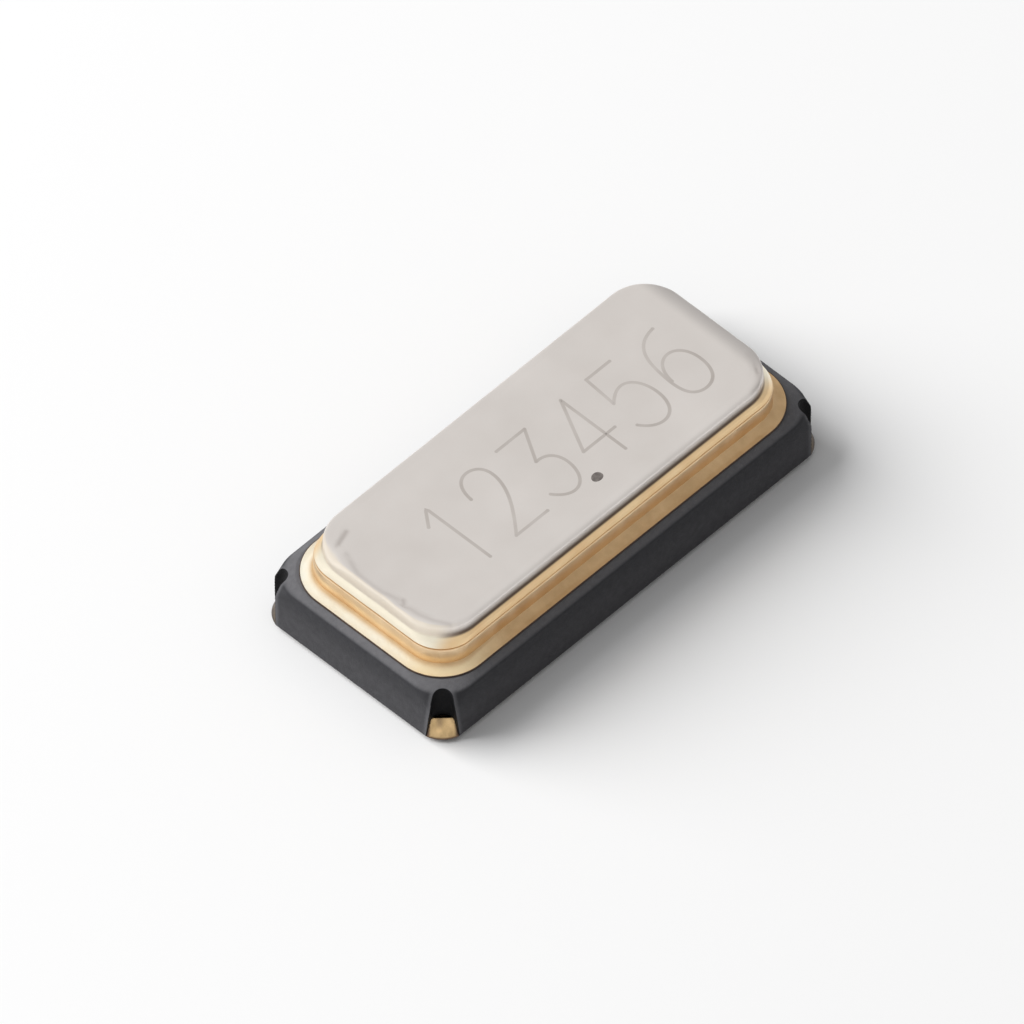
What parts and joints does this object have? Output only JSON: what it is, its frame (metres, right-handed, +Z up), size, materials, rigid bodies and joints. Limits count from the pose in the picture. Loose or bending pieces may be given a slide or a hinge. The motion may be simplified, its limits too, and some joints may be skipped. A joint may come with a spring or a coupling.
{
  "type": "crystal resonator",
  "caption": "Surface-mount quartz tuning-fork resonator: black ceramic box with gold-plated terminals, brazed metal ring and a welded, drawn metal lid.",
  "frame": {"origin": "under the middle of the package, level with the soldered faces of the terminals", "axes": "+X along the package from the mounting ledge to the fork's tips, +Z up through the lid"},
  "size_m": [0.0032, 0.0014, 0.0007],
  "materials": {
    "ceramic": "matt black fired alumina",
    "gold_plate": "satin gold plating over nickel",
    "fired_metal": "fired tungsten film",
    "nickel_plate": "satin nickel plating on iron-nickel-cobalt sheet",
    "adhesive": "silver-filled resin",
    "quartz": "clear, etched",
    "gold_film": "bright evaporated gold",
    "solder": "reflowed gold alloy, satin"
  },
  "bodies": {
    "root": {"ceramic_body": "ceramic", "terminal_1": "gold_plate", "terminal_2": "gold_plate", "rim_metallization": "fired_metal", "braze_fillet": "gold_plate", "seal_ring": "gold_plate", "lid": "nickel_plate", "mounting_pad_1": "gold_plate", "mounting_pad_2": "gold_plate", "conductor_1": "fired_metal", "conductor_2": "fired_metal", "adhesive_dot_1": "adhesive", "adhesive_dot_2": "adhesive", "tuning_fork": "quartz", "electrode_film_1": "gold_film", "electrode_film_2": "gold_film", "tuning_weight_1": "gold_film", "tuning_weight_2": "gold_film", "vacuum_hole_lining": "gold_plate", "vacuum_plug": "solder"}
  },
  "joints": []
}
